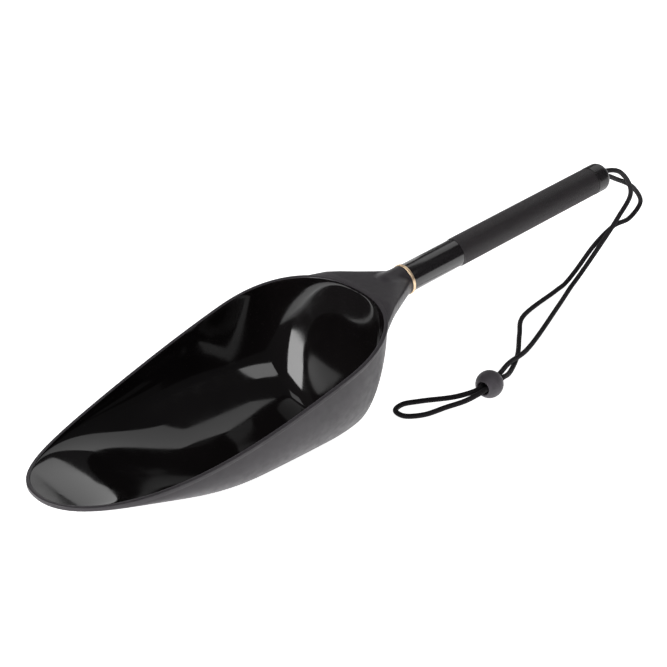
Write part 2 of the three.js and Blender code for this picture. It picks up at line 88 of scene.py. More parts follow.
# neck and socket, on the handle's axis
RING_WIDTH = 2 * MM
SOCKET_FACE_X = RING_WIDTH / 2 + FIT_GAP
SOCKET_RADIUS = 11.2 * MM
SOCKET_FADE_START = 17 * MM
SOCKET_FADE_END = 38 * MM
NECK_ROOT = 66 * MM
NECK_HALF_WIDTH = 53 * MM
NECK_DEPTH = 20 * MM
NECK_WALL = 4 * MM
DECK_PROUD = 0.05 * MM
NECK_TOP_AT_SOCKET = 6.8 * MM
NECK_START_HALF_WIDTH = SOCKET_RADIUS - 1 * MM
NECK_BELLY = 1.15
NECK_SEGMENTS = 144
NECK_ROWS = 60
DECK_EDGE_DROPS = (7 * MM, 2.5 * MM)
DECK_ROUNDNESS = (0.8, 0.35)
SOCKET_BLEND = 3 * MM
LEAST_BLEND = 0.01 * MM
POCKET_START = 0.45
POCKET_SEGMENTS = 64
POCKET_ROWS = 16
INSERT_BORE_RADIUS = 7.3 * MM
INSERT_BORE_END = SOCKET_FACE_X + 17.6 * MM

# handle
HANDLE_SEGMENTS = 144
RING_RADIUS = 11.65 * MM
SPIGOT_BORE_RADIUS = 8.6 * MM
TUBE_RADIUS = 10.8 * MM
TUBE_BORE_RADIUS = 9.6 * MM
TUBE_START = RING_WIDTH / 2 + FIT_GAP
SLEEVE_START = RING_WIDTH / 2 + 49.5 * MM
SLEEVE_END = SLEEVE_START + 146.5 * MM
SLEEVE_RADIUS = TUBE_RADIUS + 0.45 * MM
CAP_START = SLEEVE_END + FIT_GAP
CAP_LENGTH = 15 * MM
CAP_END = CAP_START + CAP_LENGTH
CAP_RADIUS = 11.3 * MM
CAP_ROUNDING = 6.2 * MM
CAP_SPIGOT = 14 * MM
CAP_CHAMBER_RADIUS = 7.3 * MM
CAP_END_WALL = 10 * MM

# lanyard
CORD_DIAMETER = 3.9 * MM
CORD_SPACING = 4.3 * MM
CORD_SIDES = 20
CORD_STEP = 0.7 * MM
BRAID_STRANDS = 16
CORD_ROOM = 0.4 * MM
CORD_HOLE_RADIUS = (CORD_SPACING + CORD_DIAMETER) / 2 + CORD_ROOM
KNOT_FACE = CAP_END - CAP_END_WALL - FIT_GAP
CORD_START = KNOT_FACE + FIT_GAP
BEAD_RADIUS = 10.4 * MM
BEAD_CENTRE = Vector((JOINT.x - 33.1 * MM, 58.4 * MM, BEAD_RADIUS))
BEAD_TURN = math.radians(11)


def lerp(a, b, t):
    return a + (b - a) * t


def clamp(value, low=0.0, high=1.0):
    return max(low, min(high, value))


def ease(t):
    return t * t * (3 - 2 * t)


def beside_axis(along, above):
    """A point so far along the handle's axis from the joint, and so far above that axis."""
    return JOINT + TO_CAP * along + AXIS_UP * above


# ---------------------------------------------------------------- camera

VIEW_ELEVATION = math.radians(28)
VIEW_AZIMUTH = math.radians(139.54)
CAMERA_PLACE = (0.7034, 0.8065, 0.6268)
CAMERA_LENS = 91.75
CAMERA_SENSOR = 36


def place_camera():
    data = bpy.data.cameras.new("camera")
    data.lens = CAMERA_LENS
    data.sensor_width = CAMERA_SENSOR
    data.clip_start = 0.05
    data.clip_end = 50
    camera = bpy.data.objects.new("camera", data)
    camera.location = CAMERA_PLACE
    camera.rotation_euler = (math.pi / 2 - VIEW_ELEVATION, 0.0, VIEW_AZIMUTH)
    bpy.context.collection.objects.link(camera)
    bpy.context.scene.camera = camera


place_camera()

# ---------------------------------------------------------------- mesh helpers


def make_piece(name, bm, materials, smooth_below=40):
    """The finished bmesh as an object at the origin, smooth but for edges sharper than asked."""
    mesh = bpy.data.meshes.new(name)
    bm.to_mesh(mesh)
    bm.free()
    for material in materials:
        mesh.materials.append(material)
    mesh.shade_smooth()
    mesh.set_sharp_from_angle(angle=math.radians(smooth_below))
    piece = bpy.data.objects.new(name, mesh)
    bpy.context.collection.objects.link(piece)
    return piece


def open_skin(rows, material_of_row=None):
    """A skin drawn out from row to row, every row a closed loop of as many points.

    Each vertex keeps its place in its row and the row's number. The edges of both ends come too.
    """
    bm = bmesh.new()
    place = bm.verts.layers.int.new("place")
    row_number = bm.verts.layers.int.new("row")
    loop = bmesh.ops.create_circle(bm, segments=len(rows[0]), radius=1.0)["verts"]
    for number, vert in enumerate(loop):
        vert[place] = number
        vert.co = rows[0][number]
    first = edges = list(bm.edges)
    for number, row in enumerate(rows[1:], start=1):
        drawn = bmesh.ops.extrude_edge_only(bm, edges=edges)["geom"]
        edges = [e for e in drawn if isinstance(e, bmesh.types.BMEdge) and e.is_boundary]
        for vert in (v for v in drawn if isinstance(v, bmesh.types.BMVert)):
            vert.co = row[vert[place]]
            vert[row_number] = number
        if material_of_row:
            for face in {f for e in edges for f in e.link_faces}:
                face.material_index = material_of_row(number - 1)
    return bm, first, edges


def drawn_out(rows, material_of_row=None):
    """The same skin with both ends closed by a fan of faces."""
    bm, first, last = open_skin(rows, material_of_row)
    for end, row in ((first, 0), (last, len(rows) - 2)):
        lid = bmesh.ops.edgeloop_fill(bm, edges=end)["faces"]
        if material_of_row:
            lid[0].material_index = material_of_row(row)
        bmesh.ops.poke(bm, faces=lid)
    bmesh.ops.recalc_face_normals(bm, faces=bm.faces)
    return bm


def turned(profile, sides):
    """A piece turned about the handle's axis from (x, radius) pairs, +X towards the bowl."""
    bm = bmesh.new()
    verts = [bm.verts.new((x, 0.0, radius)) for x, radius in profile]
    edges = [bm.edges.new(pair) for pair in zip(verts, verts[1:])]
    bmesh.ops.spin(
        bm, geom=verts + edges, cent=(0, 0, 0), axis=(1, 0, 0), angle=2 * math.pi,
        steps=sides, use_merge=True, use_duplicate=False,
    )
    bmesh.ops.remove_doubles(bm, verts=bm.verts, dist=1e-6)
    bmesh.ops.recalc_face_normals(bm, faces=bm.faces)
    return bm


def on_handle(bm):
    """Moved from the X axis onto the handle's axis, with the joint at the origin."""
    bmesh.ops.transform(bm, matrix=HANDLE, verts=bm.verts)
    return bm


def arc(centre_x, centre_r, radius, start, end, steps):
    """(x, radius) pairs along an arc; its angles are in degrees from +X."""
    angles = [math.radians(lerp(start, end, i / steps)) for i in range(steps + 1)]
    return [(centre_x + radius * math.cos(a), centre_r + radius * math.sin(a)) for a in angles]


def combine(piece, tool, operation):
    """The piece joined to, or cut by, a tool piece that is then thrown away."""
    change = piece.modifiers.new("combine", "BOOLEAN")
    change.operation = operation
    change.solver = "MANIFOLD"
    change.object = tool
    bpy.context.view_layer.update()
    done = bpy.data.meshes.new_from_object(
        piece.evaluated_get(bpy.context.evaluated_depsgraph_get())
    )
    piece.modifiers.clear()
    piece.data = done
    bpy.data.objects.remove(tool)


# ---------------------------------------------------------------- material helpers


class Finish:
    """A material and the few node steps that the finishes share."""

    def __init__(self, name, color, roughness, metallic=0.0, specular=0.5):
        self.material = bpy.data.materials.new(name)
        self.material.use_nodes = True
        self.nodes = self.material.node_tree.nodes
        self.links = self.material.node_tree.links
        self.shader = self.nodes["Principled BSDF"]
        self.shader.inputs["Base Color"].default_value = (*color, 1.0)
        self.shader.inputs["Roughness"].default_value = roughness
        self.shader.inputs["Metallic"].default_value = metallic
        self.shader.inputs["Specular IOR Level"].default_value = specular
        self.color = color
        self.place = self.nodes.new("ShaderNodeTexCoord").outputs["Object"]
        self.relief = None

    def stretched(self, scale):
        mapping = self.nodes.new("ShaderNodeMapping")
        mapping.inputs["Scale"].default_value = scale
        self.links.new(self.place, mapping.inputs["Vector"])
        return mapping.outputs["Vector"]

    def noise(self, scale, detail=3.0, place=None):
        node = self.nodes.new("ShaderNodeTexNoise")
        node.inputs["Scale"].default_value = scale
        node.inputs["Detail"].default_value = detail
        self.links.new(place or self.place, node.inputs["Vector"])
        return node.outputs["Fac"]

    def ranged(self, value, low, high, start=0.3, end=0.7):
        node = self.nodes.new("ShaderNodeMapRange")
        node.inputs["From Min"].default_value = start
        node.inputs["From Max"].default_value = end
        node.inputs["To Min"].default_value = low
        node.inputs["To Max"].default_value = high
        self.links.new(value, node.inputs["Value"])
        return node.outputs["Result"]

    def maths(self, operation, first, second=None):
        node = self.nodes.new("ShaderNodeMath")
        node.operation = operation
        for socket, value in zip(node.inputs, (first, second)):
            if isinstance(value, (int, float)):
                socket.default_value = value
            elif value is not None:
                self.links.new(value, socket)
        return node.outputs["Value"]

    def mottle(self, value, darker, lighter):
        """Colour that runs between a darker and a lighter share of the base colour."""
        ramp = self.nodes.new("ShaderNodeMix")
        ramp.data_type = "RGBA"
        ramp.inputs["A"].default_value = (*(c * darker for c in self.color), 1.0)
        ramp.inputs["B"].default_value = (*(c * lighter for c in self.color), 1.0)
        self.links.new(value, ramp.inputs["Factor"])
        self.links.new(ramp.outputs["Result"], self.shader.inputs["Base Color"])

    def rough(self, value):
        self.links.new(value, self.shader.inputs["Roughness"])

    def bump(self, height, distance, strength=1.0):
        node = self.nodes.new("ShaderNodeBump")
        node.inputs["Distance"].default_value = distance
        node.inputs["Strength"].default_value = strength
        self.links.new(height, node.inputs["Height"])
        if self.relief:
            self.links.new(self.relief, node.inputs["Normal"])
        self.relief = node.outputs["Normal"]
        self.links.new(self.relief, self.shader.inputs["Normal"])


def polished_moulding():
    """Inside of the bowl: high gloss, with the slow ripple and fine rub marks of a moulding."""
    finish = Finish("polished_moulding", (0.0055, 0.0046, 0.0048), 0.07, specular=0.55)
    finish.mottle(finish.ranged(finish.noise(22), 0.0, 1.0), 0.8, 1.25)
    finish.rough(finish.ranged(finish.noise(60, 6), 0.045, 0.12))
    finish.bump(finish.noise(16, 1), 0.25 * MM, 0.35)
    finish.bump(finish.noise(900, 2, finish.stretched((0.12, 1.0, 1.0))), 0.004 * MM, 0.5)
    return finish.material


def satin_moulding():
    """Outside of the bowl, its lip, deck and socket: fine spark-eroded satin."""
    finish = Finish("satin_moulding", (0.0262, 0.0218, 0.0265), 0.40)
    finish.mottle(finish.ranged(finish.noise(35, 4), 0.0, 1.0), 0.85, 1.15)
    finish.rough(finish.ranged(finish.noise(180, 5), 0.36, 0.5))
    finish.bump(finish.noise(1700, 2), 0.03 * MM, 0.6)
    finish.bump(finish.noise(30, 2), 0.3 * MM, 0.25)
    return finish.material


def lacquered_tube():
    """Smooth tube: lacquer over metal, with faint lines drawn along it."""
    finish = Finish("lacquered_tube", (0.009, 0.0075, 0.0085), 0.2, specular=0.6)
    finish.shader.inputs["Coat Weight"].default_value = 0.6
    finish.shader.inputs["Coat Roughness"].default_value = 0.08
    along = finish.stretched((0.06, 1.0, 1.0))
    finish.mottle(finish.ranged(finish.noise(500, 3, along), 0.0, 1.0), 0.85, 1.2)
    finish.rough(finish.ranged(finish.noise(300, 4, along), 0.16, 0.27))
    finish.bump(finish.noise(420, 2), 0.01 * MM, 0.4)
    return finish.material


def knurled_grip():
    """Sleeve: rubbery and dull, with painted shade in the grooves and a painted highlight on the
    crests.
    """
    finish = Finish("knurled_grip", (0.027, 0.0215, 0.0245), 0.45)
    crest = finish.nodes.new("ShaderNodeAttribute")
    crest.attribute_name = "crest"
    # painted shade in the grooves and a painted highlight on the crests, set by the crest height
    # and made patchy by noise
    crest_light_patchiness = finish.ranged(finish.noise(90), 0.75, 1.0)
    groove_shade_crest_light = finish.maths("MULTIPLY", crest.outputs["Fac"], crest_light_patchiness)
    finish.mottle(groove_shade_crest_light, 0.3, 1.7)
    finish.rough(finish.ranged(finish.noise(700, 3), 0.38, 0.52))
    finish.bump(finish.noise(2600, 2), 0.03 * MM, 0.5)
    return finish.material


def rolled_brass(name, color, roughness):
    """Turned metal with fine tool lines round it."""
    finish = Finish(name, color, roughness, metallic=1.0)
    finish.mottle(finish.ranged(finish.noise(240, 3), 0.0, 1.0), 0.9, 1.08)
    lines = finish.noise(1.0, 2, finish.stretched((9000.0, 40.0, 40.0)))
    finish.rough(finish.ranged(lines, roughness * 0.8, roughness * 1.3))
    finish.bump(lines, 0.004 * MM, 0.5)
    return finish.material


def cap_moulding():
    finish = Finish("cap_moulding", (0.014, 0.0125, 0.0135), 0.28)
    finish.mottle(finish.ranged(finish.noise(90, 4), 0.0, 1.0), 0.85, 1.2)
    finish.rough(finish.ranged(finish.noise(500, 4), 0.24, 0.34))
    finish.bump(finish.noise(1400, 2), 0.012 * MM, 0.5)
    return finish.material


def plug_moulding():
    finish = Finish("plug_moulding", (0.02, 0.02, 0.021), 0.5)
    finish.mottle(finish.ranged(finish.noise(150, 4), 0.0, 1.0), 0.8, 1.2)
    finish.bump(finish.noise(1300, 3), 0.03 * MM, 0.5)
    return finish.material


def bead_moulding():
    finish = Finish("bead_moulding", (0.074, 0.066, 0.076), 0.5, specular=0.45)
    finish.mottle(finish.ranged(finish.noise(160, 5), 0.0, 1.0), 0.8, 1.2)
    finish.rough(finish.ranged(finish.noise(600, 4), 0.48, 0.66))
    finish.bump(finish.noise(1100, 3), 0.05 * MM, 0.6)
    return finish.material


def braided_cord():
    """Fine tubular braid: two families of strands wound opposite ways over the cord's own map."""
    finish = Finish("braided_cord", (0.0145, 0.0128, 0.0148), 0.8, specular=0.15)
    finish.shader.inputs["Sheen Weight"].default_value = 0.04
    finish.shader.inputs["Sheen Roughness"].default_value = 0.5
    around_along = finish.nodes.new("ShaderNodeUVMap")
    around_along.uv_map = "around_along"
    split = finish.nodes.new("ShaderNodeSeparateXYZ")
    finish.links.new(around_along.outputs["UV"], split.inputs["Vector"])
    around = finish.maths("MULTIPLY", split.outputs["X"], BRAID_STRANDS)
    along = finish.maths("MULTIPLY", split.outputs["Y"], BRAID_STRANDS)
    left = finish.maths("PINGPONG", finish.maths("ADD", around, along), 0.5)
    right = finish.maths("PINGPONG", finish.maths("SUBTRACT", around, along), 0.5)
    weave = finish.maths("MULTIPLY", finish.maths("MAXIMUM", left, right), 2.0)
    dust = finish.ranged(finish.noise(300, 3), 0.7, 1.0)
    # painted shade and highlight: darker in the grooves between strands and lighter on their tops,
    # with a random dust tone over it
    finish.mottle(finish.maths("MULTIPLY", weave, dust), 0.55, 1.3)
    finish.bump(weave, 0.16 * MM, 0.7)
    finish.bump(finish.noise(4200, 2), 0.03 * MM, 0.4)
    return finish.material


POLISHED = polished_moulding()
SATIN = satin_moulding()
LACQUER = lacquered_tube()
GRIP = knurled_grip()
RING_GOLD = rolled_brass("ring_gold", (1.0, 0.76, 0.52), 0.42)
INSERT_BRASS = rolled_brass("insert_brass", (0.72, 0.53, 0.26), 0.34)
CAP = cap_moulding()
PLUG = plug_moulding()
BEAD = bead_moulding()
BRAID = braided_cord()

# ---------------------------------------------------------------- lanyard cord

LANYARD_ROUTE = [
    beside_axis(CORD_START, CORD_SPACING / 2),
    beside_axis(CAP_END + 2 * MM, CORD_SPACING / 2),
    *(Vector((JOINT.x + x, y, z)) for x, y, z in [
        (-0.2356, -0.0020, 0.1036),
        (-0.2563, -0.0066, 0.0775),
        (-0.2460, -0.0095, 0.0580),
        (-0.2345, -0.0170, 0.0330),
        (-0.2200, -0.0225, 0.0105),
        (-0.2090, -0.0215, 0.0034),
        (-0.1760, -0.0053, 0.0025),
        (-0.0986, 0.0327, 0.0044),
        (-0.0700, 0.0426, 0.0082),
        (-0.0464, 0.0534, 0.0104),
        (-0.0327, 0.0562, 0.0104),
        (-0.0190, 0.0588, 0.0104),
        (-0.0053, 0.0516, 0.0072),
        (0.0124, 0.0336, 0.0022),
        (0.0260, 0.0285, 0.0022),
        (0.0355, 0.0318, 0.0022),
        (0.0360, 0.0410, 0.0022),
        (0.0242, 0.0492, 0.0022),
        (0.0045, 0.0529, 0.0028),
        (-0.0075, 0.0604, 0.0070),
        (-0.0198, 0.0632, 0.0104),
        (-0.0335, 0.0606, 0.0104),
        (-0.0472, 0.0580, 0.0104),
        (-0.0640, 0.0489, 0.0046),
        (-0.0915, 0.0308, 0.0022),
        (-0.1173, 0.0080, 0.0022),
        (-0.1400, -0.0106, 0.0022),
        (-0.1940, -0.0252, 0.0025),
        (-0.2100, -0.0288, 0.0034),
        (-0.2215, -0.0286, 0.0115),
        (-0.2360, -0.0226, 0.0330),
        (-0.2505, -0.0170, 0.0470),
        (-0.2720, -0.0180, 0.0480),
        (-0.2855, -0.0190, 0.0578),
        (-0.2745, -0.0175, 0.0734),
        (-0.2364, -0.0072, 0.0962),
    ]),
    beside_axis(CAP_END + 2 * MM, -CORD_SPACING / 2),
    beside_axis(CORD_START, -CORD_SPACING / 2),
]


def smooth_run(points, per_span=24):
    """A centripetal curve through the points, as the part's own solid follows."""
    ends = [2 * points[0] - points[1], *points, 2 * points[-1] - points[-2]]
    run = []
    for a, b, c, d in zip(ends, ends[1:], ends[2:], ends[3:]):
        before, span, after = ((q - p).length ** 0.5 for p, q in ((a, b), (b, c), (c, d)))
        leave = ((b - a) / before - (c - a) / (before + span) + (c - b) / span) * span
        arrive = ((c - b) / span - (d - b) / (span + after) + (d - c) / after) * span
        for i in range(per_span):
            t = i / per_span
            run.append(
                b * (2 * t**3 - 3 * t**2 + 1) + leave * (t**3 - 2 * t**2 + t)
                + c * (3 * t**2 - 2 * t**3) + arrive * (t**3 - t**2)
            )
    run.append(points[-1])
    return run


def evenly(points, step):
    """The same run with its points a step apart."""
    spaced = [points[0]]
    left = step
    for a, b in zip(points, points[1:]):
        length = (b - a).length
        reach = left
        while reach <= length:
            spaced.append(a.lerp(b, reach / length))
            reach += step
        left = reach - length
    spaced.append(points[-1])
    return spaced


def cord_rings(path, radius, sides):
    """Rings of points square to the path, carried along it without twist."""
    rings = []
    side = None
    for number, point in enumerate(path):
        ahead = path[min(number + 1, len(path) - 1)]
        behind = path[max(number - 1, 0)]
        forward = (ahead - behind).normalized()
        side = forward.orthogonal() if side is None else side - forward * side.dot(forward)
        side.normalize()
        across = forward.cross(side)
        rings.append([
            point + (side * math.cos(turn) + across * math.sin(turn)) * radius
            for turn in (2 * math.pi * i / sides for i in range(sides))
        ])
    return rings


def make_cord():
    """The doubled cord as a round tube, its map one unit round and as long as it really is."""
    path = evenly(smooth_run(LANYARD_ROUTE), CORD_STEP)
    bm, *ends = open_skin(cord_rings(path, CORD_DIAMETER / 2, CORD_SIDES))
    for end in ends:
        bmesh.ops.edgeloop_fill(bm, edges=end)
    bmesh.ops.recalc_face_normals(bm, faces=bm.faces)
    around_along = bm.loops.layers.uv.new("around_along")
    place, row = bm.verts.layers.int["place"], bm.verts.layers.int["row"]
    turns_per_step = CORD_STEP / (math.pi * CORD_DIAMETER)
    half_way = CORD_SIDES / 2
    for face in bm.faces:
        places = [corner.vert[place] for corner in face.loops]
        crosses = max(places) - min(places) > half_way
        for corner, number in zip(face.loops, places):
            turn = number + CORD_SIDES if crosses and number < half_way else number
            corner[around_along].uv = (turn / CORD_SIDES, corner.vert[row] * turns_per_step)
    cord = make_piece("braided_lanyard", bm, [BRAID], smooth_below=60)
    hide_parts("lanyard_cord")
    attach(cord, "handle")
    return cord, path


lanyard, lanyard_path = make_cord()

# ---------------------------------------------------------------- bowl


def bezier(points, t):
    while len(points) > 1:
        points = [lerp(a, b, t) for a, b in zip(points, points[1:])]
    return points[0]


def rim_height(x):
    return bezier(RIM_HEIGHTS, clamp((x - BOWL_BACK_X) / BOWL_LENGTH))


def keel_curve(inset):
    """Side view of the keel: back wall, flat, and the sweep up to the tip."""
    back = BOWL_BACK_X + inset
    tip = BOWL_TIP_X - inset
    flat_start = BOWL_BACK_X + BACK_FOOT + inset / 2
    flat_end = BOWL_BACK_X + BACK_FOOT + KEEL_FLAT
    rise = tip - flat_end
    tip_height = RIM_HEIGHTS[3] - LIP_HEIGHT + inset
    lean_height = 0.75 * RIM_HEIGHTS[0]
    foot_pull = 0.53 * BACK_FOOT
    sweep_pull, tip_pull = 0.41 * rise, 0.6 * rise
    tip_sag = 0.5 * MM
    back_wall = [
        Vector((back, RIM_HEIGHTS[0] - LIP_HEIGHT)),
        Vector((back + BACK_WALL_LEAN, lean_height)),
        Vector((back + foot_pull, inset)),
        Vector((flat_start, inset)),
    ]
    sweep = [
        Vector((flat_end, inset)),
        Vector((flat_end + sweep_pull, inset)),
        Vector((flat_end + tip_pull, tip_height - tip_sag)),
        Vector((tip, tip_height)),
    ]
    steps = 160
    return [bezier(part, i / steps) for part in (back_wall, sweep) for i in range(steps + 1)]


def height_along(curve):
    """The curve's height as a function of x."""

    def height(x):
        low, high = 0, len(curve) - 1
        while high - low > 1:
            middle = (low + high) // 2
            if curve[middle].x < x:
                low = middle
            else:
                high = middle
        a, b = curve[low], curve[high]
        return lerp(a.y, b.y, clamp((x - a.x) / max(b.x - a.x, 1e-9)))

    return height


def plan_reach(x_is_ahead, inset):
    return (BOWL_LENGTH - WIDEST_FROM_BACK if x_is_ahead else WIDEST_FROM_BACK) - inset


def plan_point(angle, inset):
    """A point of the bowl's egg-shaped outline, seen from above, moved in by the inset."""
    c, s = math.cos(angle), math.sin(angle)
    power = 2 / PLAN_FULLNESS
    x = WIDEST_X + plan_reach(c > 0, inset) * math.copysign(abs(c) ** power, c)
    return x, (BOWL_WIDTH / 2 - inset) * math.copysign(abs(s) ** power, s)


def plan_half_width(x, inset):
    share = min(1.0, abs(x - WIDEST_X) / plan_reach(x > WIDEST_X, inset))
    return (BOWL_WIDTH / 2 - inset) * (1 - share**PLAN_FULLNESS) ** (1 / PLAN_FULLNESS)


BOWL_ANGLES = [2 * math.pi * (i + 0.5) / BOWL_SEGMENTS for i in range(BOWL_SEGMENTS)]


def from_joint(x, y, z):
    return Vector((JOINT.x + x, y, z))


def rim_row(inset, drop):
    row = []
    for angle in BOWL_ANGLES:
        x, y = plan_point(angle, inset)
        row.append(from_joint(x, y, rim_height(x) - drop))
    return row


def skin_rows(plan_inset, keel_inset, top, down):
    """Rows of one skin of the bowl, from its edge at `top` below the rim, to the keel."""
    keel = height_along(keel_curve(keel_inset))
    last_row_width = 0.4
    rows = []
    for i in range(down + 1):
        shrink = math.cos(i / (down + last_row_width) * math.pi / 2) ** (2 / SECTION_FULLNESS)
        row = []
        for angle in BOWL_ANGLES:
            edge_x, edge_y = plan_point(angle, plan_inset)
            x = WIDEST_X + (edge_x - WIDEST_X) * shrink
            y = edge_y * shrink
            edge = rim_height(x) - top
            across = min(1.0, abs(y) / max(plan_half_width(x, plan_inset), 1e-6))
            share = 0.0 if i == 0 else (1 - across**SECTION_FULLNESS) ** (1 / SECTION_FULLNESS)
            drop = max(0.0, edge - keel(x)) * share
            row.append(from_joint(x, y, max(edge - drop, keel_inset)))
        rows.append(row)
    return rows


def bowl_shell():
    """Outside skin, lip and inside skin in one run; the inside is polished."""
    outside = skin_rows(LIP_PROUD, 0.0, LIP_HEIGHT, BOWL_ROWS)[::-1]
    inside = skin_rows(LIP_WIDTH, WALL, LIP_ROUNDING, BOWL_ROWS)
    r = LIP_ROUNDING
    step_start, step_end = 0.2 * MM, 0.5 * MM
    quarter = [(1 - math.cos(a), 1 - math.sin(a)) for a in (0.0, 0.4, 0.8, 1.2, math.pi / 2)]
    lip = [
        rim_row(LIP_PROUD * 0.3, LIP_HEIGHT - step_start),
        rim_row(0.0, LIP_HEIGHT - step_end),
        *(rim_row(r * across, r * down_by) for across, down_by in quarter),
        *(rim_row(LIP_WIDTH - r * across, r * down_by) for across, down_by in quarter[::-1]),
    ]
    rows = [*outside, *lip, *inside[1:]]
    last_satin = len(outside) + len(lip) - 3
    return drawn_out(rows, lambda row: 1 if row > last_satin else 0)


def deck_height(x):
    """Top of the neck over the handle's axis: a straight deck, then down along the rim."""
    back = Vector((BOWL_BACK_X, 0.0, RIM_HEIGHTS[0] - JOINT.z))
    back_on_axis = Vector((back.dot(TO_BOWL), back.dot(AXIS_UP)))
    deck = lerp(NECK_TOP_AT_SOCKET, back_on_axis.y, x / back_on_axis.x)
    if x < back_on_axis.x:
        return deck
    top = deck
    for _ in range(4):
        level_x = x * TO_BOWL.x + top * AXIS_UP.x
        top = (rim_height(level_x) - JOINT.z - x * TO_BOWL.z) / AXIS_UP.z
    return top


def smooth_larger(a, b, blend):
    """The larger of two, eased over where they are within the blend of each other."""
    share = max(blend - abs(a - b), 0.0) / blend
    return max(a, b) + share * share * blend / 4


def neck_row(x, inset, extra_depth, with_socket, sides):
    """One section of the neck: flat deck on top, round below, and the socket where it shows."""
    share = clamp((x - SOCKET_FACE_X) / (NECK_ROOT - SOCKET_FACE_X), 0.0, 1.6)
    half = lerp(NECK_START_HALF_WIDTH, NECK_HALF_WIDTH, share) - inset
    top = deck_height(x) + DECK_PROUD - inset
    bottom = -lerp(NECK_START_HALF_WIDTH, NECK_DEPTH, share**NECK_BELLY) - extra_depth
    edge = top - lerp(*DECK_EDGE_DROPS, min(1.0, 2 * share))
    fade = clamp((x - SOCKET_FADE_START) / (SOCKET_FADE_END - SOCKET_FADE_START))
    socket = SOCKET_RADIUS * (1 - ease(fade))
    row = []
    for i in range(sides):
        turn = 2 * math.pi * (i + 0.5) / sides
        c, s = math.cos(turn), math.sin(turn)
        flat = lerp(*DECK_ROUNDNESS, min(1.0, share)) if s > 0 else 1.0
        y = half * math.copysign(abs(c) ** flat, c)
        z = edge + (top - edge) * s**flat if s > 0 else edge + (edge - bottom) * s
        if with_socket:
            reach = math.hypot(y, z)
            blend = SOCKET_BLEND * clamp(share * 6)
            grown = smooth_larger(reach, socket, max(blend, LEAST_BLEND))
            y, z = y * grown / reach, z * grown / reach
        row.append(HANDLE @ Vector((x, y, z)))
    return row


def neck_body():
    places = [lerp(SOCKET_FACE_X, NECK_ROOT, i / NECK_ROWS) for i in range(NECK_ROWS + 1)]
    return drawn_out([neck_row(x, 0.0, 0.0, True, NECK_SEGMENTS) for x in places])


def neck_pocket(side):
    """One of the two hollows under the deck, either side of the middle rib."""
    start = lerp(SOCKET_FACE_X, NECK_ROOT, POCKET_START)
    end = NECK_ROOT + 10 * MM
    places = [lerp(start, end, i / POCKET_ROWS) for i in range(POCKET_ROWS + 1)]
    bm = drawn_out([neck_row(x, NECK_WALL, NECK_ROOT, False, POCKET_SEGMENTS) for x in places])
    geometry = bm.verts[:] + bm.edges[:] + bm.faces[:]
    cut = bmesh.ops.bisect_plane(
        bm, geom=geometry, plane_co=(0, side * NECK_WALL / 2, 0), plane_no=(0, -side, 0),
        clear_outer=True,
    )["geom_cut"]
    bmesh.ops.edgeloop_fill(bm, edges=[e for e in cut if isinstance(e, bmesh.types.BMEdge)])
    bmesh.ops.recalc_face_normals(bm, faces=bm.faces)
    return bm


def bowl_hollow():
    """The room inside the rim, which the neck is cut back to."""
    above = 40 * MM
    into_wall = 1.1 * MM
    inset = LIP_WIDTH - into_wall
    keel_inset = 1.5 * MM
    return drawn_out([rim_row(inset, -above), *skin_rows(inset, keel_inset, 0.0, 24)])


def insert_bore():
    outside_face = SOCKET_FACE_X - 5 * MM
    return on_handle(turned([
        (outside_face, 0.0),
        (outside_face, INSERT_BORE_RADIUS),
        (INSERT_BORE_END, INSERT_BORE_RADIUS),
        (INSERT_BORE_END, 0.0),
    ], 72))


def make_bowl():
    finishes = [SATIN, POLISHED]
    neck = make_piece("neck_core", neck_body(), finishes)
    tools = [neck_pocket(-1), neck_pocket(1), bowl_hollow(), insert_bore()]
    for number, tool in enumerate(tools):
        combine(neck, make_piece(f"neck_cutter_{number}", tool, finishes), "DIFFERENCE")
    bowl = make_piece("moulded_bowl", bowl_shell(), finishes)
    combine(bowl, neck, "UNION")
    bowl.data.shade_smooth()
    bowl.data.set_sharp_from_angle(angle=math.radians(32))
    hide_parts("scoop_bowl")
    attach(bowl, "scoop")


make_bowl()

# ---------------------------------------------------------------- handle


def make_ring():
    over_gap = 0.15 * MM
    half = RING_WIDTH / 2 + over_gap
    bevel = 0.35 * MM
    ring = turned([
        (-half, SPIGOT_BORE_RADIUS),
        (-half, RING_RADIUS - bevel),
        *arc(-half + bevel, RING_RADIUS - bevel, bevel, 165, 90, 5),
        *arc(half - bevel, RING_RADIUS - bevel, bevel, 90, 15, 5),
        (half, RING_RADIUS - bevel),
        (half, SPIGOT_BORE_RADIUS),
        (-half, SPIGOT_BORE_RADIUS),
    ], HANDLE_SEGMENTS)
    piece = make_piece("gold_collar", on_handle(ring), [RING_GOLD])
    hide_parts("collar_ring")
    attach(piece, "collar")


def make_tube():
    edge = 0.35 * MM
    rings = [lerp(-TUBE_START - edge, -SLEEVE_END, i / 12) for i in range(13)]
    tube = turned([
        (-TUBE_START, TUBE_BORE_RADIUS),
        (-TUBE_START, TUBE_RADIUS - edge),
        *arc(-TUBE_START - edge, TUBE_RADIUS - edge, edge, 15, 75, 3),
        *((x, TUBE_RADIUS) for x in rings),
        (-SLEEVE_END, TUBE_BORE_RADIUS),
        (-TUBE_START, TUBE_BORE_RADIUS),
    ], HANDLE_SEGMENTS)
    piece = make_piece("lacquered_handle", on_handle(tube), [LACQUER])
    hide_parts("handle_tube")
    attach(piece, "handle")


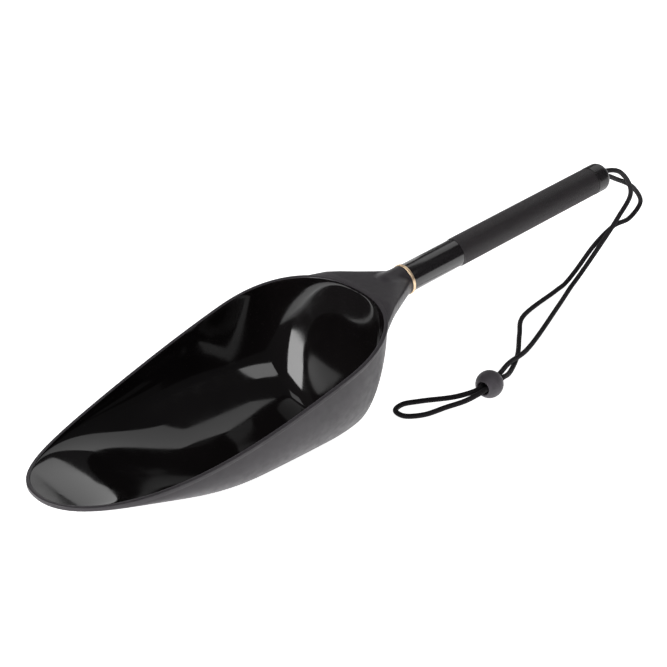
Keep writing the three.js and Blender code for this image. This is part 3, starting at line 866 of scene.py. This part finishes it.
def make_sleeve():
    """The knurl is real: pyramids between two families of grooves that cross."""
    steps_round = 216
    step = 2 * math.pi * SLEEVE_RADIUS / steps_round
    rows = int((SLEEVE_END - SLEEVE_START) / step)
    inner = TUBE_RADIUS + 0.1 * MM
    depth = 0.26 * MM
    pitch = 4
    plain_rows = 3
    plain_height = 0.35
    profile = [
        (-SLEEVE_START, inner),
        *((lerp(-SLEEVE_START, -SLEEVE_END, i / rows), SLEEVE_RADIUS) for i in range(rows + 1)),
        (-SLEEVE_END, inner),
        (-SLEEVE_START, inner),
    ]
    bm = turned(profile, steps_round)
    crest = bm.verts.layers.float.new("crest")
    for vert in bm.verts:
        radius = math.hypot(vert.co.y, vert.co.z)
        if radius < SLEEVE_RADIUS - 0.01 * MM:
            continue
        row = round((-SLEEVE_START - vert.co.x) / (SLEEVE_END - SLEEVE_START) * rows)
        turn = round(math.atan2(vert.co.z, vert.co.y) / (2 * math.pi) * steps_round)
        left, right = (row + turn) % pitch, (row - turn) % pitch
        height = min(left, pitch - left, right, pitch - right) / (pitch / 2)
        near_end = min(row, rows - row)
        if near_end < plain_rows:
            height = plain_height if near_end else 0.0
        # the crest height also goes to the grip finish, which paints shade in the grooves and a
        # highlight on the crests
        vert[crest] = height
        grown = (SLEEVE_RADIUS - depth * (1 - height)) / radius
        vert.co.y *= grown
        vert.co.z *= grown
    piece = make_piece("knurled_sleeve", on_handle(bm), [GRIP], smooth_below=14)
    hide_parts("grip_sleeve")
    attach(piece, "handle")


def make_cap():
    spigot = TUBE_BORE_RADIUS - FIT_GAP
    spigot_end = -CAP_START + CAP_SPIGOT
    chamber_end = -(CAP_END - CAP_END_WALL)
    r = CAP_ROUNDING
    mouth = 0.6 * MM
    spigot_bevel = 0.6 * MM
    rim_bevel = 0.25 * MM
    cap = turned([
        (spigot_end, CAP_CHAMBER_RADIUS),
        (spigot_end, spigot - spigot_bevel),
        (spigot_end - spigot_bevel, spigot),
        (-CAP_START, spigot),
        (-CAP_START, CAP_RADIUS - rim_bevel),
        (-CAP_START - rim_bevel, CAP_RADIUS),
        *arc(-CAP_END + r, CAP_RADIUS - r, r, 90, 180, 16),
        *arc(-CAP_END + mouth, CORD_HOLE_RADIUS + mouth, mouth, 180, 270, 5),
        (chamber_end, CORD_HOLE_RADIUS),
        (chamber_end, CAP_CHAMBER_RADIUS),
        (spigot_end, CAP_CHAMBER_RADIUS),
    ], HANDLE_SEGMENTS)
    piece = make_piece("rounded_cap", on_handle(cap), [CAP])
    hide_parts("end_cap")
    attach(piece, "handle")


def make_bead():
    bore = CORD_HOLE_RADIUS + CORD_ROOM
    lip = 0.8 * MM
    reach = math.sqrt(BEAD_RADIUS**2 - (bore + lip) ** 2)
    edge = math.degrees(math.atan2(bore + lip, reach))
    bead = turned([
        *arc(-reach + lip, bore + lip, lip, 270, 180, 4),
        *arc(0.0, 0.0, BEAD_RADIUS, 180 - edge, edge, 48),
        *arc(reach - lip, bore + lip, lip, 0, -90, 4),
        (-reach + lip, bore),
    ], 96)
    turn = Matrix.Translation(BEAD_CENTRE) @ Matrix.Rotation(BEAD_TURN, 4, "Z")
    bmesh.ops.transform(bead, matrix=turn, verts=bead.verts)
    piece = make_piece("sliding_bead", bead, [BEAD])
    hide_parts("cord_bead")
    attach(piece, "bead")
    return piece


make_ring()
make_tube()
make_sleeve()
make_cap()
sliding_bead = make_bead()


def refinish(node, material):
    """A CAD node whose shape is right keeps its mesh and takes a finish."""
    for slot in frame["nodes"][node].material_slots:
        slot.material = material


refinish("threaded_insert", INSERT_BRASS)
refinish("threaded_plug", PLUG)
refinish("lanyard_knot", PLUG)

# ---------------------------------------------------------------- floor and light


def make_floor():
    drop = 0.2 * MM
    bm = bmesh.new()
    bmesh.ops.create_grid(bm, x_segments=8, y_segments=8, size=6.0)
    bmesh.ops.translate(bm, vec=(0.0, 0.0, -drop), verts=bm.verts)
    finish = Finish("white_table", (0.9, 0.9, 0.9), 0.8, specular=0.1)
    finish.shader.inputs["Emission Color"].default_value = (1.0, 1.0, 1.0, 1.0)
    finish.shader.inputs["Emission Strength"].default_value = 1.0
    floor = make_piece("white_table", bm, [finish.material])


LIT_SPOT = Vector((0.03, 0.0, 0.05))

# name, azimuth and elevation in degrees, distance, width, height, radiance
SOFTBOXES = [
    ("left_softbox", -2, 20, 1.8, 1.0, 1.0, 7.5),
    ("right_softbox", 98, 46, 1.8, 0.95, 0.6, 2.6),
    ("back_softbox", -114, 17, 1.8, 0.8, 1.1, 1.15),
    ("far_left_panel", -160, 40, 1.8, 1.1, 1.5, 0.9),
    ("top_softbox", -60, 78, 1.9, 0.8, 0.8, 1.2),
]


def softbox(name, azimuth, elevation, distance, width, height, radiance):
    """A soft panel facing the bowl, placed by its direction from it; radiance is its brightness."""
    turn, tilt = math.radians(azimuth), math.radians(elevation)
    level = math.cos(tilt)
    away = Vector((math.cos(turn) * level, math.sin(turn) * level, math.sin(tilt)))
    data = bpy.data.lights.new(name, "AREA")
    data.shape = "RECTANGLE"
    data.size = width
    data.size_y = height
    data.energy = radiance * math.pi * width * height
    light = bpy.data.objects.new(name, data)
    light.location = LIT_SPOT + away * distance
    light.rotation_euler = (-away).to_track_quat("-Z", "Y").to_euler()
    bpy.context.collection.objects.link(light)


def light_scene():
    """Soft panels round the bowl; the wall is pale to look at and dark in reflections."""
    world = bpy.data.worlds.new("studio")
    bpy.context.scene.world = world
    world.use_nodes = True
    nodes, links = world.node_tree.nodes, world.node_tree.links
    wall = nodes.new("ShaderNodeMix")
    wall.data_type = "RGBA"
    wall.inputs["A"].default_value = (0.06, 0.06, 0.062, 1.0)
    wall.inputs["B"].default_value = (1.0, 1.0, 1.0, 1.0)
    links.new(nodes.new("ShaderNodeLightPath").outputs["Is Camera Ray"], wall.inputs["Factor"])
    links.new(wall.outputs["Result"], nodes["Background"].inputs["Color"])
    for panel in SOFTBOXES:
        softbox(*panel)
    bpy.context.scene.view_settings.view_transform = "Standard"


make_floor()
light_scene()
